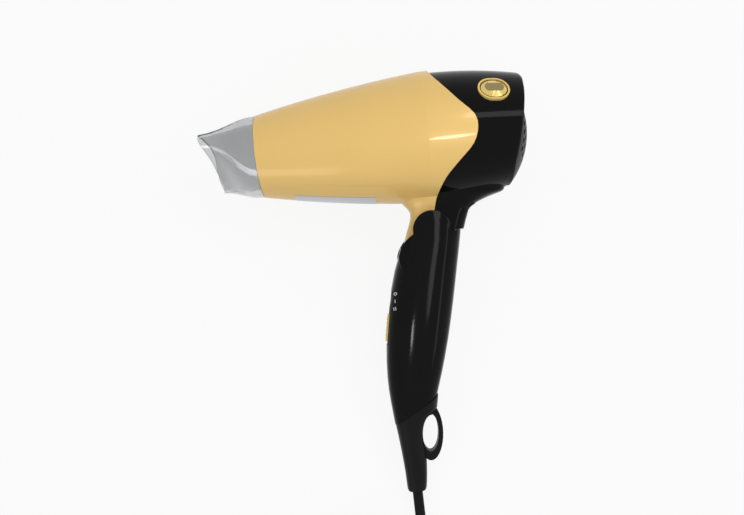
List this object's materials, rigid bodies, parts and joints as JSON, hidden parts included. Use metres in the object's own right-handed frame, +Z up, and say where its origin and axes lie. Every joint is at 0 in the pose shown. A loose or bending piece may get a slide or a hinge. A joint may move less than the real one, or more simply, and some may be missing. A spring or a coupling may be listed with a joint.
{
  "type": "travel hair dryer",
  "caption": "Folding travel hair dryer with a tapered barrel, slanted intake grille, turning concentrator nozzle, hinged handle, slide switch, push button, hang loop and flat cord with plug.",
  "frame": {"origin": "on the surface it lies on, below the middle of the dryer's bounding box without its cord", "axes": "+X along the barrel from the nozzle to the intake, +Y from the handle's end towards the barrel, +Z up from the surface; the dryer lies on its right side, leaning a little about X because the barrel is thicker than the handle"},
  "size_m": [0.2194, 0.3424, 0.0728],
  "materials": {
    "gold_gloss": "gloss",
    "black_gloss": "gloss",
    "black_satin": "satin",
    "dark_plastic": "satin",
    "clear_plastic": "clear gloss",
    "gold_plated": "plated gloss",
    "mica": "satin",
    "heating_wire": "satin",
    "steel": "satin",
    "white_plastic": "satin",
    "board": "satin",
    "film_capacitor": "gloss",
    "lead_sleeve": "satin",
    "black_rubber": "satin",
    "plated_pins": "polished"
  },
  "bodies": {
    "handle": {"handle_left": "black_gloss", "handle_right": "black_gloss", "hinge_pin": "steel", "hinge_washers": "steel", "handle_screws": "steel", "switch_bezel": "black_satin", "switch_body": "dark_plastic", "suppressor": "film_capacitor", "cord_clamp": "dark_plastic", "handle_leads": "lead_sleeve", "strain_relief": "black_rubber", "cord_run": "black_rubber", "cord_coil": "black_rubber", "cord_tail": "black_rubber", "coil_tie": "black_rubber", "plug_body": "black_rubber", "plug_pins": "plated_pins"},
    "head": {"barrel_shell": "gold_gloss", "rear_housing": "black_gloss", "intake_grille": "black_satin", "outlet_guard": "dark_plastic", "mica_liner": "mica", "mica_boards": "mica", "heating_coil": "heating_wire", "thermal_cutout": "steel", "thermal_fuse": "white_plastic", "motor_mount": "dark_plastic", "motor_can": "steel", "motor_cap": "white_plastic", "rectifier_board": "board", "button_rim": "gold_plated", "button_carrier": "dark_plastic", "button_switch": "dark_plastic", "button_spring": "steel", "housing_screws": "steel", "head_leads": "lead_sleeve"},
    "fan": {"fan_rotor": "dark_plastic", "motor_shaft": "steel"},
    "nozzle": {"nozzle": "clear_plastic"},
    "button": {"push_button": "gold_plated"},
    "slider": {"switch_slider": "gold_plated"}
  },
  "joints": [
    {"name": "head_fold", "type": "hinge", "parent": "handle", "child": "head", "pos_m": [0.0304, 0.02739, 0.02828], "axis": [0, -0.1577, 0.9875], "range_deg": [0, 70]},
    {"name": "fan_spin", "type": "hinge", "parent": "head", "child": "fan", "pos_m": [0.0529, 0.07824, 0.0364], "axis": [1, 0, 0], "continuous": true},
    {"name": "nozzle_turn", "type": "hinge", "parent": "head", "child": "nozzle", "pos_m": [-0.0571, 0.07824, 0.0364], "axis": [1, 0, 0], "continuous": true},
    {"name": "button_press", "type": "slide", "parent": "head", "child": "button", "axis": [-0.1342, -0.3701, -0.9193], "range_m": [0, 0.0012], "stiffness_N_per_m": 600, "springref_m": -0.0008, "deforming": ["button_spring"]},
    {"name": "switch_slide", "type": "slide", "parent": "handle", "child": "slider", "axis": [0.1908, 0.9694, 0.1548], "range_m": [0, 0.008]}
  ]
}
